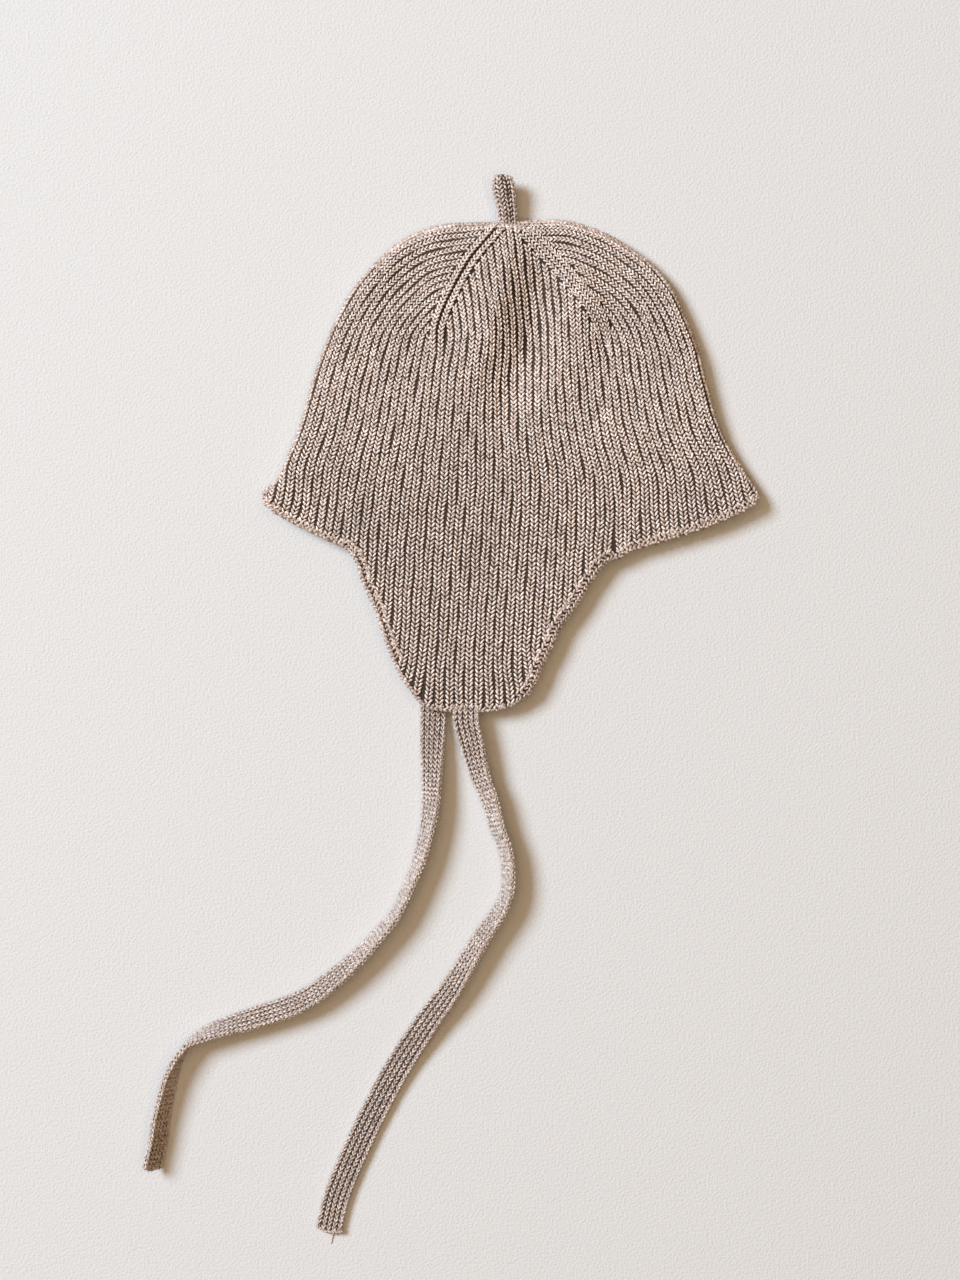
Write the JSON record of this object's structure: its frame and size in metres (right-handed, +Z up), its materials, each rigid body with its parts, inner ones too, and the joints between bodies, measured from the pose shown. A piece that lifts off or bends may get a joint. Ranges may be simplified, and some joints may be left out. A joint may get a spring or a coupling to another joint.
{
  "type": "baby bonnet",
  "caption": "Rib-knit baby bonnet with ear flaps, a short knitted stem on the crown and long flat knitted ties, lying flat on its back layer.",
  "frame": {"origin": "on the surface the bonnet lies on, under the middle of the bonnet and its stem, ties left out", "axes": "+Z up from the surface, +Y from the ear flaps to the crown, +X to the right as seen from above"},
  "size_m": [0.2589, 0.4446, 0.018],
  "materials": {
    "rib_knit": "matte mottled wool rib knit",
    "stem_knit": "matte mottled wool tube knit",
    "tie_knit": "matte mottled wool flat knit"
  },
  "bodies": {
    "root": {"bonnet_body": "rib_knit", "crown_stem": "stem_knit", "front_tie": "tie_knit", "back_tie": "tie_knit"}
  },
  "joints": []
}
